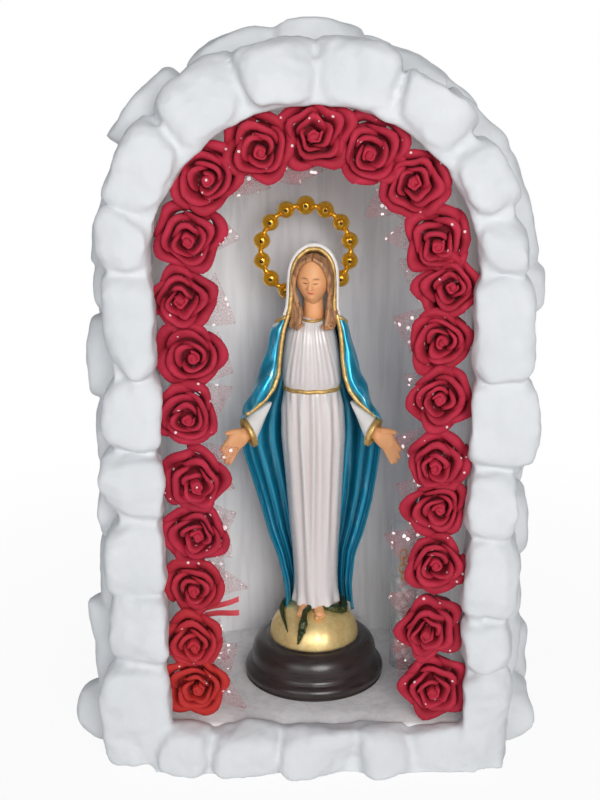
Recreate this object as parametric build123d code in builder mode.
"""Tabletop grotto shrine: a plastered stone arch round a niche that holds a statue of Our Lady.

Frame: +X to the right seen from the front, +Y into the niche, +Z up, origin on the underside in the
middle of the footprint. Millimetres. Nothing moves: every piece is fixed to the next by plaster or glue.
"""

from build123d import *
import itertools
import math
import os
import random

os.makedirs("parts", exist_ok=True)

# ---- niche: a round-headed shell on a floor slab -----------------------------------------------------
floor_top = 20.0            # height of the niche floor above the table
spring_height = 217.0       # height at which the round arch starts
niche_half_width = 66.0     # half the clear width between the side walls
wall = 8.0                  # thickness of the shell
sill_y = -44.0              # front edge of the floor slab
shell_y = -29.0             # front edge of the walls and the vault
back_y = 49.0               # face of the back wall
corner_radius = 35.0        # hollow between the side walls and the back wall
corner_flats = 5            # flats that the hollow is trowelled in
vault_flats = 16            # flats round the arch

# ---- stones ------------------------------------------------------------------------------------------
stone_gap = 0.4             # open joint between neighbouring stones
front_reach = 29.0          # depth of the front course before the shell
front_height = 28.5         # highest front stone, out from the niche's inner face
side_height = 35.0          # highest side stone, out from the shell's outer face
side_level = 23.0           # usual height of the side stones further back
side_range = 4.5            # how much lower than that one may be
side_courses = 3            # courses behind the front one
skirt_spread = 10.0         # how much further the lowest of them reach out
skirt_taper = 2.0           # less of that on each course further back
foot_depth = 2.5            # how far the lowest boulders run on below the table before they are cut
sill_height = 24.0          # height of the stones before the floor
sill_foot = 2.0             # the same for the sill stones
sill_reach = 17.0           # how far they stand out in the middle

# ---- roses and net -----------------------------------------------------------------------------------
rose_radius = 11.85
rose_depth = 15.0
rose_base = 3.0             # glued foot of the petals
rose_clearance = 0.3        # rose to wall, rose to net
rose_set_back = 10.0        # back of the roses behind the sill's front edge
rose_turns = 2.3            # turns of the wound strip
rose_sides = 7              # bends in one turn
rose_core = 2.6             # radius at which the strip starts
rose_lip = 10.5             # height of the outermost petals
petal_thickness = 1.3
petal_flare = 0.14          # how much wider a petal is at its lip
petal_wave = 1.6            # dip of the lip between petals
net_thickness = 0.8
net_reach = 11.0            # how far the net stands in past the roses
ribbon_length = 9.0
ribbon_width = 5.0

# ---- statue ------------------------------------------------------------------------------------------
statue_x = -0.5
statue_y = 6.0
plinth_radius = 32.5
plinth_shoulder = 28.3
plinth_height = 19.0
globe_radius = 20.5
globe_rise = 17.0
hem_gap = 0.3               # robe over the globe's top
waist_level = 102.5         # levels above the globe's top
shoulder_level = 131.5
elbow_level = 107.5
wrist_level = 84.5
hood_level = 165.5
belt_height = 3.4
robe_hem = 11.6             # half widths of the robe
robe_knee = 10.4
robe_hip = 14.4
robe_waist = 12.4
robe_chest = 12.9
robe_depth = 9.0            # half depth of the robe at its fullest
pleats = 9
pleat_swell = 0.05
cloth_clearance = 0.35      # mantle, belt and hair off what lies under them
mantle_thickness = 3.2
mantle_spread = 29.5        # half width of the hanging mantle at the wrists
mantle_hem = 15.0
arm_spread = 29.8           # wrist from the middle of the figure
hand_length = 16.0
head_half_width = 6.6
head_half_depth = 7.6
head_height = 21.5
neck_radius = 3.9
hood_half_width = 11.0
hood_half_depth = 11.6
hood_wall = 1.6
trim_width = 1.5
halo_radius = 20.0
halo_beads = 14
halo_shift = -3.6            # middle of the bead ring left of the hood's middle
halo_drop = 4.2             # and below the hood's top
bead_radius = 3.1
serpent_radius = 1.7

# ---- votive tube -------------------------------------------------------------------------------------
tube_x = 42.0
tube_y = 10.5
tube_radius = 6.5
tube_wall = 0.8
tube_height = 75.0
tube_floor = 2.0
pearl_radius = 2.2
pearl_clearance = 0.15
pearl_count = 14

outer_half_width = niche_half_width + wall
rear_y = back_y + wall
arch_length = math.pi * niche_half_width
rim_length = 2 * spring_height + arch_length


def save(piece, name):
    """Label one finished sub-part and write its STEP file."""
    piece.label = name
    export_step(piece, f"parts/{name}.step")


def panelled(rings):
    """Closed solid of flat panels through rings of points; every ring has as many points."""
    count = len(rings[0])
    faces = [Face(Wire.make_polygon(rings[0])), Face(Wire.make_polygon(rings[-1]))]
    for low, high in zip(rings, rings[1:]):
        for place in range(count):
            after = (place + 1) % count
            faces.append(Face(Wire.make_polygon([low[place], low[after], high[after]])))
            faces.append(Face(Wire.make_polygon([low[place], high[after], high[place]])))
    return Solid(Shell(faces)).clean()


def hulls(groups):
    """One convex solid round each group of points."""
    with BuildPart() as lumps:
        for points in groups:
            ConvexPolyhedron(points)
    return lumps.part


# ---- shell -------------------------------------------------------------------------------------------
def hollow_corner(side):
    """Points of the trowelled hollow from the side wall to the back wall."""
    middle = niche_half_width - corner_radius
    points = []
    for step in range(corner_flats + 1):
        angle = math.pi / 2 * step / corner_flats
        points.append((
            side * (middle + corner_radius * math.cos(angle)),
            back_y - corner_radius + corner_radius * math.sin(angle),
        ))
    return points


def side_wall(side):
    """Side wall with its hollow corner, from the floor to the foot of the arch."""
    with BuildPart() as panel:
        with BuildSketch(Plane.XY.offset(floor_top)):
            Polygon(
                (side * niche_half_width, shell_y), *hollow_corner(side),
                (side * (niche_half_width - corner_radius), rear_y), (side * outer_half_width, rear_y),
                (side * outer_half_width, shell_y), align=None,
            )
        extrude(amount=spring_height - floor_top)
    return panel.part


with BuildPart() as niche_floor:
    with BuildSketch(Plane.XY):
        Polygon(
            (-niche_half_width, sill_y), (niche_half_width, sill_y), (niche_half_width, shell_y),
            (outer_half_width, shell_y), (outer_half_width, rear_y), (-outer_half_width, rear_y),
            (-outer_half_width, shell_y), (-niche_half_width, shell_y), align=None,
        )
    extrude(amount=floor_top)

with BuildPart() as left_wall:
    add(side_wall(-1))

with BuildPart() as right_wall:
    add(side_wall(1))

with BuildPart() as back_wall:
    with BuildSketch(Plane.XY.offset(floor_top)):
        Polygon(
            (corner_radius - niche_half_width, back_y), (niche_half_width - corner_radius, back_y),
            (niche_half_width - corner_radius, rear_y), (corner_radius - niche_half_width, rear_y),
            align=None,
        )
    extrude(amount=spring_height - floor_top)

# Section of the vault as radius and depth, carried round the half circle in flats.
vault_section = [(niche_half_width, shell_y), *hollow_corner(1), (niche_half_width - corner_radius, rear_y),
                 (outer_half_width, rear_y), (outer_half_width, shell_y)]
vault_turns = [math.pi * step / vault_flats for step in range(vault_flats + 1)]
with BuildPart() as vault:
    add(panelled([
        [Vector(-radius * math.cos(turn), y, spring_height + radius * math.sin(turn))
         for radius, y in vault_section]
        for turn in vault_turns
    ]))
    with BuildSketch(Plane(origin=(0, rear_y, 0), x_dir=(1, 0, 0), z_dir=(0, -1, 0))):
        Polygon(*[
            (-(niche_half_width - corner_radius) * math.cos(turn),
             spring_height + (niche_half_width - corner_radius) * math.sin(turn)) for turn in vault_turns
        ], align=None)
    extrude(amount=wall)


# ---- stones ------------------------------------------------------------------------------------------
def rim_point(run, out, y):
    """Point by the arch line: run goes up the left side, over the arch and down the right side."""
    reach = niche_half_width + out
    if run <= spring_height:
        return Vector(-reach, y, run)
    if run < spring_height + arch_length:
        turn = (run - spring_height) / niche_half_width
        return Vector(-reach * math.cos(turn), y, spring_height + reach * math.sin(turn))
    return Vector(reach, y, rim_length - run)


def spread(shares, length):
    """Bounds along a length from a list of relative widths."""
    bounds = [0.0]
    for share in shares:
        bounds.append(bounds[-1] + share * length / sum(shares))
    return bounds


def at_feet(bounds):
    """The same joints, with the nearest one moved to each foot of the arch."""
    bounds = list(bounds)
    for foot in (spring_height, spring_height + arch_length):
        nearest = min(range(len(bounds)), key=lambda place: abs(bounds[place] - foot))
        bounds[nearest] = foot
    return bounds


def joints(shares):
    """Joints of a course along the arch line for stones of these relative lengths."""
    return at_feet(spread(shares, rim_length))


# How far out of a boulder's box its face middles, edges and corners lie, along the course, out and in depth.
boulder_pulls = ((1, 0.9, 0.8), (1, 0.8, 0.62), (1, 0.72, 0.52))
boulder_spread = 0.15
boulder_tilt = 0.18
# Corners of a boulder's seat in shares of its box.
front_seat = tuple((run, out, depth) for run in (-1, 1) for out, depth in ((-1, -0.3), (-1, 1), (0.5, 1)))
side_seat = tuple((run, -1, depth) for run in (-1, 1) for depth in (-0.75, 0.75))
sill_seat = tuple((run, up, 1) for run in (-1, 1) for up in (-1, 0.6))


def boulder(box, seat, chance):
    """Points of one rough boulder in a box of three spans, with the flat seat that it rests on."""
    lean, turn, nod = (chance.uniform(-boulder_tilt, boulder_tilt) for _ in range(3))
    corners = list(seat)
    for signs in itertools.product((-1, 0, 1), repeat=3):
        rank = sum(map(abs, signs))
        if rank:
            run, out, depth = (
                sign * (pulls[rank - 1] + chance.uniform(-boulder_spread, boulder_spread) * (rank > 1))
                if sign else chance.uniform(-0.3, 0.3) for sign, pulls in zip(signs, boulder_pulls)
            )
            corners.append((run + lean * out, out, depth + turn * run + nod * out))
    return [
        [(low + high) / 2 + min(max(share, -1), 1) * (high - low) / 2
         for share, (low, high) in zip(corner, box)]
        for corner in corners
    ]


def course(bounds, low, reaches, near, far, seat, chance):
    """One course of boulders along the arch line, in three groups: left, arch and right."""
    groups = ([], [], [])
    for start, end, reach in zip(bounds, bounds[1:], reaches):
        middle = (start + end) / 2
        group = 0 if middle < spring_height else (1 if middle < spring_height + arch_length else 2)
        # on the arch the flat seat touches the round face at its middle
        half_turn = (end - start) / 2 / niche_half_width if group == 1 else 0
        inside = (niche_half_width + low) / math.cos(half_turn) - niche_half_width
        box = (
            (start + stone_gap / 2 if start > 0 else -foot_depth,
             end - stone_gap / 2 if end < rim_length else rim_length + foot_depth),
            (inside, reach), (near, far),
        )
        groups[group].append([
            rim_point(min(max(run, 0), rim_length), out, y) for run, out, y in boulder(box, seat, chance)
        ])
    return groups


# Front stones up the left side, over the arch and down the right: relative length, and reach.
front_shares = (49, 33, 33, 30, 31, 41, 21, 29, 29, 25, 27, 29, 26, 21, 41, 38, 31, 36, 23, 48)
front_reaches = (
    28, 24.5, 23.5, 23.5, 21.5, 21, 23, 27.5, 28.5, 27, 26, 23, 21.5, 20, 23, 26, 19, 23, 20, 21,
)
front_joints = joints(front_shares)
front_chance = random.Random(7)
left_front, arch_front, right_front = course(
    front_joints, 0, [front_height * reach / max(front_reaches) for reach in front_reaches],
    shell_y - front_reach, shell_y - stone_gap, front_seat, front_chance,
)
with BuildPart() as front_stones_left:
    add(hulls(left_front))
with BuildPart() as front_stones_arch:
    add(hulls(arch_front))
with BuildPart() as front_stones_right:
    add(hulls(right_front))

# Behind the front course each course breaks joint with the one before it. The first one shows past it.
side_reaches = (
    43, 36, 31, 29, 28, 30, 26, 29, 37, 32.5, 33, 28, 27, 28, 30, 27, 26, 28.5, 28, 28, 34,
)
side_depth = (rear_y - shell_y) / side_courses
side_chance = random.Random(11)
left_side, crown, right_side, skirts = [], [], [], []
side_joints = front_joints
for number in range(side_courses):
    middles = [(start + end) / 2 for start, end in zip(side_joints, side_joints[1:])]
    between = middles if number % 2 == 0 else middles[1:-1]
    side_joints = at_feet([0, *between, rim_length])
    if number:
        reaches = [wall + side_level - side_chance.uniform(0, side_range) for _ in side_joints[1:]]
        for foot in (0, -1):
            reaches[foot] += skirt_spread - skirt_taper * number
    else:
        reaches = [(wall + side_height) * reach / max(side_reaches) for reach in side_reaches]
    near = shell_y + number * side_depth + stone_gap
    left_group, arch_group, right_group = course(
        side_joints, wall, reaches, near, near + side_depth - stone_gap, side_seat, side_chance,
    )
    skirts += [left_group[0], right_group[-1]]
    left_side += left_group[1:]
    crown += arch_group
    right_side += right_group[:-1]

with BuildPart() as side_stones_left:
    add(hulls(left_side))
with BuildPart() as crown_stones:
    add(hulls(crown))
with BuildPart() as side_stones_right:
    add(hulls(right_side))
with BuildPart() as skirt_stones:
    add(hulls(skirts))

# Sill stones from left to right: relative width, and how far each stands out.
sill_shares = (27, 34, 39, 28, 31)
sill_bows = (0.88, 1, 1, 0.9, 0.65)
sill_bounds = spread(sill_shares, 2 * niche_half_width)
sill_groups = []
for start, end, bow in zip(sill_bounds, sill_bounds[1:], sill_bows):
    box = (
        (start + stone_gap / 2 - niche_half_width, end - stone_gap / 2 - niche_half_width),
        (-sill_foot, sill_height), (sill_y - sill_reach * bow, sill_y - stone_gap / 2),
    )
    sill_groups.append([(x, y, max(z, 0)) for x, z, y in boulder(box, sill_seat, front_chance)])
with BuildPart() as sill_stones:
    add(hulls(sill_groups))


# ---- roses and net -----------------------------------------------------------------------------------
rose_line = rose_radius + rose_clearance
rose_back = sill_y + rose_set_back


def wound_petals():
    """Foam strip wound into a rose: it flares towards its lip and the lip waves petal by petal."""
    rings = []
    steps = round(rose_turns * rose_sides)
    for step in range(steps + 1):
        angle = 2 * math.pi * (step - steps) / rose_sides
        share = step / steps
        reach = rose_core + (rose_radius - rose_core) * share
        lip = rose_lip + (rose_depth - rose_lip) * (1 - share) - petal_wave * (step % 2)
        ring = []
        for shrink, level in ((0, 0), (0, lip), (petal_thickness, lip), (petal_thickness, 0)):
            radius = (reach - shrink) * (1 - petal_flare * (1 - level / rose_lip))
            ring.append(Vector(radius * math.cos(angle), radius * math.sin(angle), level))
        rings.append(ring)
    return panelled(rings)


with BuildPart() as rose_form:
    with BuildSketch(Plane.XY):
        RegularPolygon(rose_radius * 0.45, 6)
    extrude(amount=rose_base)
    add(wound_petals())


def line_place(run, inset, bottom):
    """Point and turn on a line inset from the niche's face, measured from its left foot."""
    reach = niche_half_width - inset
    straight = spring_height - bottom
    arc = math.pi * reach
    if run <= straight:
        return -reach, bottom + run, 0.0
    if run < straight + arc:
        turn = (run - straight) / reach
        return -reach * math.cos(turn), spring_height + reach * math.sin(turn), turn
    return reach, bottom + 2 * straight + arc - run, math.pi


first_rose = sill_height + rose_line
rose_run = 2 * (spring_height - first_rose) + math.pi * (niche_half_width - rose_line)
rose_steps = int(rose_run / (2 * rose_radius + rose_clearance))
front_turns = [
    ((low + high) / 2 - spring_height) / niche_half_width
    for low, high in zip(front_joints, front_joints[1:])
]
rose_seats = ([], [], [])
net_seats = ([], [], [])
for number in range(rose_steps + 1):
    x, z, turn = line_place(rose_run * number / rose_steps, rose_line, first_rose)
    if 0 < turn < math.pi:
        # under the arch a rose sits against the flat face of the nearest stone
        facing = min(front_turns, key=lambda middle: abs(middle - turn))
        reach = (niche_half_width - rose_line) / math.cos(turn - facing)
        x, z = -reach * math.cos(turn), spring_height + reach * math.sin(turn)
        turn = facing
    group = 0 if turn < math.pi / 6 else (1 if turn < 5 * math.pi / 6 else 2)
    seat = Plane(origin=(x, rose_back, z), x_dir=(1, 0, 0), z_dir=(0, -1, 0))
    rose_seats[group].append(Location(seat) * Location((0, 0, 0), (0, 0, 180 - math.degrees(turn))))
    net_seat = Plane(origin=(x, rose_back + rose_clearance, z), x_dir=(1, 0, 0), z_dir=(0, 1, 0))
    net_seats[group].append(Location(net_seat) * Location((0, 0, 0), (0, 0, math.degrees(turn))))

with BuildPart() as roses_left:
    with Locations(*rose_seats[0]):
        add(rose_form.part)
with BuildPart() as roses_arch:
    with Locations(*rose_seats[1]):
        add(rose_form.part)
with BuildPart() as roses_right:
    with Locations(*rose_seats[2]):
        add(rose_form.part)

# A square of net behind each rose, two corners standing into the niche.
with BuildPart() as net_form:
    with BuildSketch(Plane.XY):
        Polygon(
            (-rose_radius, -0.25 * rose_radius), (0, -0.9 * rose_radius),
            (rose_radius + net_reach, -0.35 * rose_radius), (0.7 * rose_radius, 0.1 * rose_radius),
            (rose_radius + 0.8 * net_reach, 0.45 * rose_radius), (0, 0.9 * rose_radius),
            (-rose_radius, 0.25 * rose_radius), align=None,
        )
    extrude(amount=net_thickness)
with BuildPart() as net_left:
    with Locations(*net_seats[0]):
        add(net_form.part)
with BuildPart() as net_arch:
    with Locations(*net_seats[1]):
        add(net_form.part)
with BuildPart() as net_right:
    with Locations(*net_seats[2]):
        add(net_form.part)

ribbon_z = first_rose + 2.6 * rose_radius
with BuildPart() as ribbon_end:
    with BuildSketch(Plane(origin=(2 * rose_line - niche_half_width, rose_back, ribbon_z), x_dir=(1, 0, 0),
                           z_dir=(0, -1, 0))):
        Rectangle(ribbon_length, ribbon_width, align=(Align.MIN, Align.CENTER))
    extrude(amount=net_thickness)


# ---- statue: plinth and globe ------------------------------------------------------------------------
plinth_top = floor_top + plinth_height
globe_top = plinth_top + globe_rise


def turned(profile, axis_x, axis_y, bottom, sides):
    """Solid turned from a profile of radius and height, in upright flats."""
    return panelled([
        [Vector(axis_x + radius * math.cos(2 * math.pi * step / sides),
                axis_y + radius * math.sin(2 * math.pi * step / sides), bottom + level)
         for step in range(sides)]
        for radius, level in profile
    ])


# torus foot, quirk and swelling shoulder
plinth_profile = (
    (plinth_radius - 0.8, 0), (plinth_radius, 2.4), (plinth_radius - 0.9, 5.4), (plinth_radius - 2.6, 6.4),
    (plinth_shoulder + 1.2, 7.2), (plinth_shoulder + 0.4, plinth_height - 4.2),
    (plinth_shoulder - 2.6, plinth_height - 1), (globe_radius + 1.2, plinth_height),
)
with BuildPart() as plinth:
    add(turned(plinth_profile, statue_x, statue_y, floor_top, 28))

cap_radius = (globe_radius ** 2 + globe_rise ** 2) / (2 * globe_rise)
cap_angle = math.asin(min(globe_radius / cap_radius, 1))
cap_steps = 5
cap_profile = [
    (cap_radius * math.sin(cap_angle * step / cap_steps),
     globe_rise - cap_radius * (1 - math.cos(cap_angle * step / cap_steps)))
    for step in range(cap_steps, 0, -1)
]
with BuildPart() as globe:
    add(turned([*cap_profile, (0.1 * globe_radius, globe_rise)], statue_x, statue_y, plinth_top, 24))


# ---- statue: robe ------------------------------------------------------------------------------------
hem_z = globe_top + hem_gap
waist_z = globe_top + waist_level
shoulder_z = globe_top + shoulder_level
elbow_z = globe_top + elbow_level
wrist_z = globe_top + wrist_level
hood_top = globe_top + hood_level
knee_z = hem_z + 0.25 * (waist_z - hem_z)
hip_z = hem_z + 0.84 * (waist_z - hem_z)


def robe_ring(z, half_width, half_depth, swell=pleat_swell, grow=0.0):
    """Ring of the robe: an oval whose rim waves in and out with the pleats."""
    count = 4 * pleats
    ring = []
    for step in range(count):
        angle = 2 * math.pi * step / count
        wave = 1 + swell * math.cos(pleats * angle)
        ring.append(Vector(
            statue_x + (half_width * wave + grow) * math.cos(angle),
            statue_y + (half_depth * wave + grow) * math.sin(angle), z,
        ))
    return ring


# Levels of the robe: height, half width, half depth.
robe_levels = (
    (hem_z, robe_hem, robe_depth + 0.6),
    (knee_z, robe_knee, robe_depth - 0.8),
    (hip_z, robe_hip, robe_depth),
    (waist_z, robe_waist, robe_depth - 1.4),
    (waist_z + 0.45 * (shoulder_z - waist_z), robe_chest, robe_depth - 0.4),
    (shoulder_z - 2, robe_chest - 1.2, robe_depth - 2),
    (shoulder_z + 3, neck_radius + 1.6, neck_radius + 1.4),
)
with BuildPart() as robe:
    add(panelled([robe_ring(*level) for level in robe_levels]))


def oval_ring(z, y, half_width, half_depth, sides=24, x=statue_x):
    """Plain oval ring."""
    return [
        Vector(x + half_width * math.cos(2 * math.pi * step / sides),
               y + half_depth * math.sin(2 * math.pi * step / sides), z)
        for step in range(sides)
    ]


def band(low, high, inner_width, inner_depth, thickness):
    """Flat-sided ring round the figure."""
    with BuildPart() as hoop:
        add(panelled([
            oval_ring(low, statue_y, inner_width + thickness, inner_depth + thickness),
            oval_ring(high, statue_y, inner_width + thickness, inner_depth + thickness),
        ]))
        add(panelled([
            oval_ring(low - 1, statue_y, inner_width, inner_depth),
            oval_ring(high + 1, statue_y, inner_width, inner_depth),
        ]), mode=Mode.SUBTRACT)
    return hoop.part


belt_swell = 1 + pleat_swell
with BuildPart() as belt:
    add(band(
        waist_z - belt_height / 2, waist_z + belt_height / 2,
        robe_waist * belt_swell + cloth_clearance, (robe_depth - 1.4) * belt_swell + cloth_clearance, 0.9,
    ))

with BuildPart() as neckband:
    add(band(shoulder_z + 3.1, shoulder_z + 4.5, neck_radius + 0.2, neck_radius + 0.2, 1.5))


# ---- statue: mantle ----------------------------------------------------------------------------------
def mantle_ring(z, inner, outer_width, thickness, open_angle):
    """Crescent round the back of the robe, open at the front; folded outside, plain inside."""
    steps = 14
    half_width, half_depth = inner
    outside, inside = [], []
    for step in range(steps + 1):
        angle = math.radians(-open_angle) + math.radians(180 + 2 * open_angle) * step / steps
        wave = 0.35 * thickness * math.cos(math.pi * step)
        outside.append(Vector(
            statue_x + outer_width * math.cos(angle),
            statue_y + (half_depth + cloth_clearance + thickness + wave) * math.sin(angle), z,
        ))
        inside.append(Vector(
            statue_x + (half_width * belt_swell + cloth_clearance) * math.cos(angle),
            statue_y + (half_depth * belt_swell + cloth_clearance) * math.sin(angle), z,
        ))
    return outside + inside[::-1]


mantle_levels = (
    (hem_z, (robe_hem, robe_depth + 0.6), mantle_hem, mantle_thickness),
    (knee_z, (robe_knee + 0.8, robe_depth), 0.5 * (mantle_hem + mantle_spread) - 2.5, mantle_thickness + 1),
    (wrist_z - 6, (robe_hip, robe_depth), mantle_spread, mantle_thickness + 1),
    (waist_z - 2, (robe_hip, robe_depth), mantle_spread - 6, mantle_thickness),
    (waist_z + 0.5 * (shoulder_z - waist_z), (robe_chest, robe_depth), robe_chest + 5, mantle_thickness),
    (shoulder_z - 1, (robe_chest - 0.8, robe_depth - 1.5), robe_chest + 3, mantle_thickness),
)
with BuildPart() as mantle_back:
    add(panelled([mantle_ring(*level, 0) for level in mantle_levels]))


def arm_point(side, along):
    """Point on the arm's line: 0 at the shoulder, 1 at the elbow, 2 at the wrist, 3 at the fingertips."""
    stops = (
        (robe_chest + 1.2, statue_y + 0.5, shoulder_z - 5),
        (arm_spread - 9.0, statue_y + 1.0, elbow_z),
        (arm_spread, statue_y - 9.0, wrist_z),
        (arm_spread + 0.87 * hand_length, statue_y - 13.0, wrist_z - 0.5 * hand_length),
    )
    low = min(max(int(along), 0), 2)
    part = along - low
    x, y, z = (stops[low][axis] * (1 - part) + stops[low + 1][axis] * part for axis in range(3))
    return Vector(statue_x + side * x, y, z)


def arm_ring(side, along, half_width, half_depth, sides=10):
    """Oval ring across the arm's line: half width in the upright plane, half depth across it."""
    ahead = (arm_point(side, along + 0.15) - arm_point(side, along - 0.15)).normalized()
    flat = Vector(0, 1, 0)
    across = flat.cross(ahead).normalized()
    deep = ahead.cross(across).normalized()
    return [
        arm_point(side, along)
        + across * (half_width * math.cos(2 * math.pi * step / sides))
        + deep * (half_depth * math.sin(2 * math.pi * step / sides))
        for step in range(sides)
    ]


def arm(side, stations):
    """Solid along the arm's line: (place along it, half width, half depth)."""
    return panelled([arm_ring(side, *station) for station in stations])


def arm_mantle(side):
    """Mantle over the upper arm and the forearm, clear of the robe and the hanging mantle."""
    with BuildPart() as cloth:
        add(arm(side, ((0, 5.6, 5.4), (0.5, 6.6, 6.6), (1, 7.6, 7.4), (1.4, 8.0, 7.0), (1.62, 7.6, 6.2))))
        add(panelled([robe_ring(*level, grow=cloth_clearance) for level in robe_levels]), mode=Mode.SUBTRACT)
        add(mantle_back.part, mode=Mode.SUBTRACT)
    return cloth.part


with BuildPart() as mantle_left:
    add(arm_mantle(-1))
with BuildPart() as mantle_right:
    add(arm_mantle(1))

sleeve_stations = ((1.625, 6.2, 5.2), (1.8, 5.8, 4.9), (1.97, 5.2, 4.4))
cuff_stations = ((1.975, 5.7, 4.9), (2.06, 5.7, 4.9))
hand_stations = ((2.065, 2.3, 2.1), (2.25, 3.0, 2.2), (2.5, 4.4, 1.9), (2.62, 4.3, 1.7))
with BuildPart() as sleeves:
    add([arm(side, sleeve_stations) for side in (-1, 1)])
    add(mantle_back.part, mode=Mode.SUBTRACT)
with BuildPart() as cuffs:
    add([arm(side, cuff_stations) for side in (-1, 1)])


def hand(side):
    """Open hand: palm, four fingers and a raised thumb."""
    ahead = (arm_point(side, 2.9) - arm_point(side, 2.5)).normalized()
    across = Vector(0, 1, 0).cross(ahead).normalized() * (-side)
    with BuildPart() as palm:
        add(arm(side, hand_stations))
        root = arm_point(side, 2.55)
        for number, reach in enumerate((0.36, 0.44, 0.42, 0.33)):
            start = root + across * (2.9 - 1.95 * number) * 1.0
            tip = start + ahead * (reach * hand_length) + across * (0.5 - 0.35 * number)
            add(finger(start, tip, 1.05, 0.7))
        thumb_root = arm_point(side, 2.28) + across * 2.2
        thumb_tip = thumb_root + ahead * (0.3 * hand_length) + across * 3.6
        add(finger(thumb_root, thumb_tip, 1.2, 0.75))
    return palm.part


def finger(start, tip, root_radius, tip_radius):
    """Five-sided tapering finger."""
    ahead = (tip - start).normalized()
    across = Vector(0, 1, 0).cross(ahead).normalized()
    deep = ahead.cross(across)
    rings = []
    for part, radius in ((0, root_radius), (1, tip_radius)):
        centre = start + (tip - start) * part
        rings.append([
            centre + across * (radius * math.cos(math.pi * step / 2.5))
            + deep * (radius * math.sin(math.pi * step / 2.5)) for step in range(5)
        ])
    return panelled(rings)


with BuildPart() as hands:
    add([hand(side) for side in (-1, 1)])


def trim_point(side, part):
    """Front edge of the mantle: from the hood, down the chest, out over the forearm to the wrist."""
    stops = (
        (hood_half_width + 0.6, statue_y - robe_depth + 3.0, shoulder_z + 2),
        (robe_chest + 1.6, statue_y - robe_depth + 1.8, shoulder_z - 8),
        (robe_chest + 2.4, statue_y - robe_depth + 0.6, elbow_z + 3),
        (robe_hip + 5.2, statue_y - robe_depth - 1.0, waist_z - 4),
        (arm_spread - 3.5, statue_y - robe_depth - 5.2, wrist_z + 9.0),
    )
    low = min(int(part), len(stops) - 2)
    share = part - low
    x, y, z = (stops[low][axis] * (1 - share) + stops[low + 1][axis] * share for axis in range(3))
    return Vector(statue_x + side * x, y, z)


def trim_strip(side):
    """Gold edge of one side as a square bar along the mantle's front edge."""
    rings = []
    for number in range(5):
        centre = trim_point(side, number)
        ahead = trim_point(side, min(number + 0.2, 4)) - trim_point(side, max(number - 0.2, 0))
        ahead = ahead.normalized()
        across = Vector(0, 1, 0).cross(ahead).normalized()
        deep = ahead.cross(across)
        half = trim_width / 2
        rings.append([
            centre + across * (half * a) + deep * (half * b) for a, b in ((-1, -1), (1, -1), (1, 1), (-1, 1))
        ])
    with BuildPart() as strip:
        add(panelled(rings))
        add([mantle_left.part, mantle_right.part, robe.part, sleeves.part], mode=Mode.SUBTRACT)
    return strip.part


with BuildPart() as mantle_trim:
    add([trim_strip(side) for side in (-1, 1)])


# ---- statue: head, hood and hair ---------------------------------------------------------------------
head_z = hood_top - hood_wall - head_height / 2
head_y = statue_y - 2.0
with BuildPart() as head:
    # chin, jaw, mouth, nose, eyes, brow, crown: share of the height and of the half widths
    levels = (
        (0.0, 0.30), (0.08, 0.62), (0.2, 0.84), (0.36, 0.96), (0.5, 1.0), (0.7, 0.95), (0.88, 0.68),
        (1.0, 0.25),
    )
    rings = []
    for up, share in levels:
        z = head_z + head_height * (up - 0.5)
        rings.append(oval_ring(
            z, head_y - 0.8 * (1 - up), head_half_width * share, head_half_depth * share, 12,
        ))
    add(panelled(rings))
    add(panelled([
        oval_ring(shoulder_z + 3.0 + 0.05, statue_y - 0.5, neck_radius, neck_radius, 12),
        oval_ring(head_z, head_y + 0.5, neck_radius, neck_radius, 12),
    ]))
    # nose as a small wedge
    nose_y = head_y - head_half_depth * 0.97
    nose_z = head_z - 0.17 * head_height
    ConvexPolyhedron([
        (statue_x, nose_y - 1.2, nose_z), (statue_x - 1.0, nose_y + 1.2, nose_z),
        (statue_x + 1.0, nose_y + 1.2, nose_z), (statue_x, nose_y + 1.2, head_z + 0.1 * head_height),
    ])


def hood_ring(z, half_width, half_depth, open_angle):
    """Crescent of the hood: open at the front by the given angle either side of straight ahead."""
    steps = 11
    outside, inside = [], []
    for step in range(steps + 1):
        angle = math.radians(open_angle - 90) + math.radians(360 - 2 * open_angle) * step / steps
        for ring, shrink in ((outside, 0), (inside, hood_wall)):
            ring.append(Vector(
                statue_x + (half_width - shrink) * math.cos(angle),
                hood_y + (half_depth - shrink) * math.sin(angle), z,
            ))
    return outside + inside[::-1]


hood_y = head_y + 1.0
hood_foot = shoulder_z - 1.0
hood_brow = head_z + 0.33 * head_height
# Levels of the hood: height, half width, half depth, half angle of the opening.
hood_levels = (
    (hood_foot, hood_half_width + 2.4, hood_half_depth + 0.6, 62),
    (shoulder_z + 6, hood_half_width + 0.8, hood_half_depth, 52),
    (head_z, hood_half_width, hood_half_depth, 47),
    (hood_brow, hood_half_width - 1.6, hood_half_depth - 0.8, 38),
    (hood_top - 2.6 * hood_wall, hood_half_width - 3.4, hood_half_depth - 2.6, 24),
)
with BuildPart() as veil:
    add(panelled([hood_ring(*level) for level in hood_levels]))
    crown = hood_levels[-1]
    ConvexPolyhedron(
        oval_ring(crown[0], hood_y, crown[1], crown[2], 16)
        + oval_ring(crown[0] + 0.9 * hood_wall, hood_y, crown[1] * 0.9, crown[2] * 0.9, 16)
        + oval_ring(hood_top, hood_y, crown[1] * 0.45, crown[2] * 0.45, 16)
    )
    add([head.part, robe.part, mantle_back.part, mantle_left.part, mantle_right.part, neckband.part,
         mantle_trim.part], mode=Mode.SUBTRACT)


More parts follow.
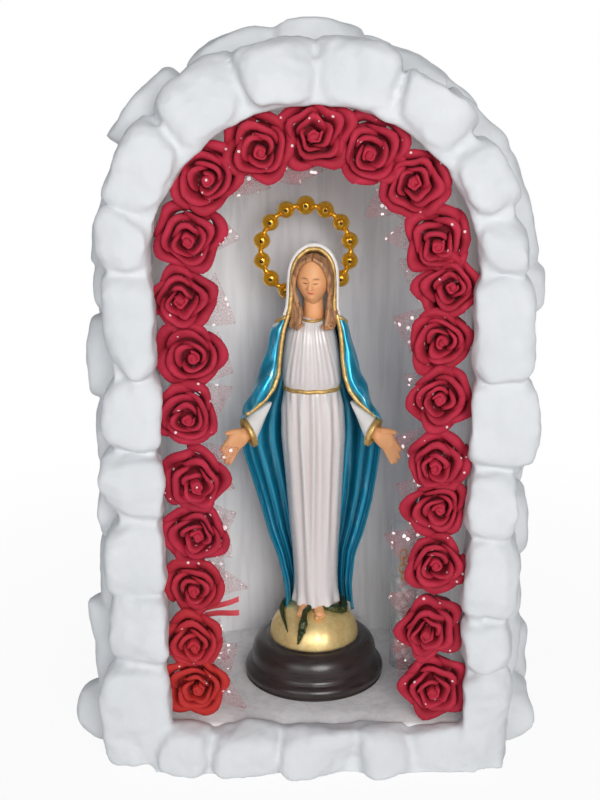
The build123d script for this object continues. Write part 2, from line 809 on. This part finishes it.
def hood_edge(side, number, ahead):
    """Middle of the hood's front edge at one of its levels."""
    z, half_width, half_depth, open_angle = hood_levels[number]
    angle = math.radians(open_angle - 90)
    x = (half_width - hood_wall / 2) * math.cos(angle)
    return Vector(statue_x + side * x, hood_y + (half_depth - hood_wall / 2) * math.sin(angle) - ahead, z)


def bar(centres, half):
    """Square bar through points."""
    rings = []
    for number, centre in enumerate(centres):
        ahead = (centres[min(number + 1, len(centres) - 1)] - centres[max(number - 1, 0)]).normalized()
        side = ahead.cross(Vector(0, 1, 0)).normalized()
        deep = ahead.cross(side)
        rings.append([centre + side * (half * a) + deep * (half * b) for a, b in
                      ((-1, -1), (1, -1), (1, 1), (-1, 1))])
    return panelled(rings)


with BuildPart() as veil_trim:
    edge = [hood_edge(-1, number, trim_width / 2) for number in range(1, len(hood_levels))]
    edge.append(Vector(statue_x, hood_y - hood_levels[-1][2] - trim_width / 2, hood_levels[-1][0] + 0.6))
    edge += [hood_edge(1, number, trim_width / 2) for number in range(len(hood_levels) - 1, 0, -1)]
    add(bar(edge, trim_width / 2))
    add([veil.part, head.part, mantle_trim.part], mode=Mode.SUBTRACT)

with BuildPart() as hair:
    for side in (-1, 1):
        # a lock down each side of the face, from the crown of the head to the shoulder
        locks = []
        for up, out, thick in ((0.40, 0.62, 1.6), (0.2, 0.98, 1.9), (-0.1, 1.12, 2.0), (-0.42, 1.1, 2.0)):
            locks.append(oval_ring(head_z + up * head_height, head_y - 2.4, thick, 2.6, 8,
                                   statue_x + side * head_half_width * out))
        locks.append(oval_ring(shoulder_z + 2, statue_y - 5.0, 2.2, 1.9, 8,
                               statue_x + side * (head_half_width + 1.6)))
        add(panelled(locks))
    add([head.part, veil.part, robe.part, neckband.part, mantle_trim.part, mantle_left.part,
         mantle_right.part, mantle_back.part, veil_trim.part], mode=Mode.SUBTRACT)


# ---- statue: bead ring behind the hood ---------------------------------------------------------------
halo_y = hood_y + hood_half_depth + 0.87 * bead_radius    # the beads are faceted
halo_z = hood_top - halo_drop


def bead(centre, radius, sides=6):
    """Points of a faceted bead."""
    points = [centre + Vector(0, 0, radius), centre - Vector(0, 0, radius)]
    for tilt in (-30, 30):
        for step in range(sides):
            angle = 2 * math.pi * (step + (0.5 if tilt > 0 else 0)) / sides
            points.append(centre + Vector(
                radius * math.cos(math.radians(tilt)) * math.cos(angle),
                radius * math.cos(math.radians(tilt)) * math.sin(angle),
                radius * math.sin(math.radians(tilt)),
            ))
    return points


def halo_place(number):
    """Centre of a bead on the ring, counted from the top."""
    angle = 2 * math.pi * number / halo_beads
    return Vector(
        statue_x + halo_shift + halo_radius * math.sin(angle), halo_y,
        halo_z + halo_radius * math.cos(angle),
    )


with BuildPart() as bead_halo:
    for number in range(halo_beads):
        here, there = halo_place(number), halo_place(number + 1)
        ConvexPolyhedron(bead(here, bead_radius * (1.12 if number == 0 else 1)))
        add(bar([here, there], 0.42 * bead_radius))
    add(mantle_back.part, mode=Mode.SUBTRACT)
    add(veil.part, mode=Mode.SUBTRACT)

# ---- statue: feet and serpent on the globe -----------------------------------------------------------
def on_globe(angle, reach, above):
    """Point over the globe's surface: angle from straight ahead, reach from the axis."""
    turn = math.radians(angle)
    fall = cap_radius - math.sqrt(max(cap_radius ** 2 - reach ** 2, 0))
    return Vector(statue_x + reach * math.sin(turn), statue_y - reach * math.cos(turn),
                  globe_top - fall + above)


with BuildPart() as feet:
    for side in (-1, 1):
        toe = on_globe(side * 24, 13.6, 1.3)
        heel = on_globe(side * 30, 8.0, 1.6)
        points = []
        for centre, half, tall in ((heel, 2.0, 1.9), ((heel + toe) * 0.5, 2.3, 1.7), (toe, 1.9, 1.2)):
            for a, b in ((-1, -1), (-0.8, 0.5), (0, 1), (0.8, 0.5), (1, -1)):
                points.append(centre + Vector(half * a, 0, tall * b))
        ConvexPolyhedron(points)
    add([globe.part, robe.part], mode=Mode.SUBTRACT)

# Serpent's line: angle from straight ahead, reach from the axis, height above the globe.
serpent_line = (
    (-9, 19.0, 2.2, 0.9), (-9, 17.2, 2.6, 1.15), (2, 15.6, 2.8, 0.75), (30, 17.0, 1.5, 0.9),
    (62, 16.4, 1.4, 1.0), (100, 15.4, 1.5, 1.0), (140, 15.8, 1.5, 0.9), (180, 15.8, 1.5, 0.85),
    (220, 15.8, 1.4, 0.8), (262, 15.8, 1.3, 0.65), (300, 17.0, 1.0, 0.45), (318, 18.0, 0.7, 0.2),
)
with BuildPart() as serpent:
    centres = [on_globe(angle, reach, above) for angle, reach, above, share in serpent_line]
    rings = []
    for number, (centre, station) in enumerate(zip(centres, serpent_line)):
        ahead = (centres[min(number + 1, len(centres) - 1)] - centres[max(number - 1, 0)]).normalized()
        side = ahead.cross(Vector(0, 0, 1)).normalized()
        deep = ahead.cross(side)
        radius = serpent_radius * station[3]
        rings.append([
            centre + side * (radius * math.cos(math.pi * step / 2.5))
            + deep * (radius * math.sin(math.pi * step / 2.5)) for step in range(5)
        ])
    add(panelled(rings))
    add([globe.part, feet.part, robe.part, mantle_back.part], mode=Mode.SUBTRACT)

# ---- votive tube -------------------------------------------------------------------------------------
with BuildPart() as votive_tube:
    add(turned(((tube_radius, 0), (tube_radius, tube_height)), tube_x, tube_y, floor_top, 20))
    add(turned(((tube_radius - tube_wall, tube_floor), (tube_radius - tube_wall, tube_height + 1)),
               tube_x, tube_y, floor_top, 20), mode=Mode.SUBTRACT)

# Pearls lie in layers of two, each layer turned a quarter on the one below.
pearl_reach = (pearl_radius + pearl_clearance) * 1.02
pearl_step = 1.5 * pearl_radius
with BuildPart() as votive_pearls:
    for number in range(pearl_count):
        layer, half_turn = divmod(number, 2)
        angle = math.pi / 2 * layer + math.pi * half_turn
        centre = Vector(
            tube_x + pearl_reach * math.cos(angle), tube_y + pearl_reach * math.sin(angle),
            floor_top + tube_floor + pearl_radius + layer * pearl_step,
        )
        ConvexPolyhedron(bead(centre, pearl_radius))

for piece, name in (
    (niche_floor, "niche_floor"), (left_wall, "left_wall"), (right_wall, "right_wall"),
    (back_wall, "back_wall"), (vault, "vault"), (front_stones_left, "front_stones_left"),
    (front_stones_arch, "front_stones_arch"), (front_stones_right, "front_stones_right"),
    (side_stones_left, "side_stones_left"), (crown_stones, "crown_stones"),
    (side_stones_right, "side_stones_right"), (skirt_stones, "skirt_stones"),
    (sill_stones, "sill_stones"), (roses_left, "roses_left"), (roses_arch, "roses_arch"),
    (roses_right, "roses_right"), (net_left, "net_left"), (net_arch, "net_arch"),
    (net_right, "net_right"), (ribbon_end, "ribbon_end"), (plinth, "plinth"), (globe, "globe"),
    (robe, "robe"), (belt, "belt"), (neckband, "neckband"), (mantle_back, "mantle_back"),
    (mantle_left, "mantle_left"), (mantle_right, "mantle_right"), (mantle_trim, "mantle_trim"),
    (sleeves, "sleeves"), (cuffs, "cuffs"), (hands, "hands"), (feet, "feet"), (serpent, "serpent"),
    (head, "head"), (veil, "veil"), (veil_trim, "veil_trim"), (hair, "hair"),
    (bead_halo, "bead_halo"), (votive_tube, "votive_tube"), (votive_pearls, "votive_pearls"),
):
    save(piece.part, name)
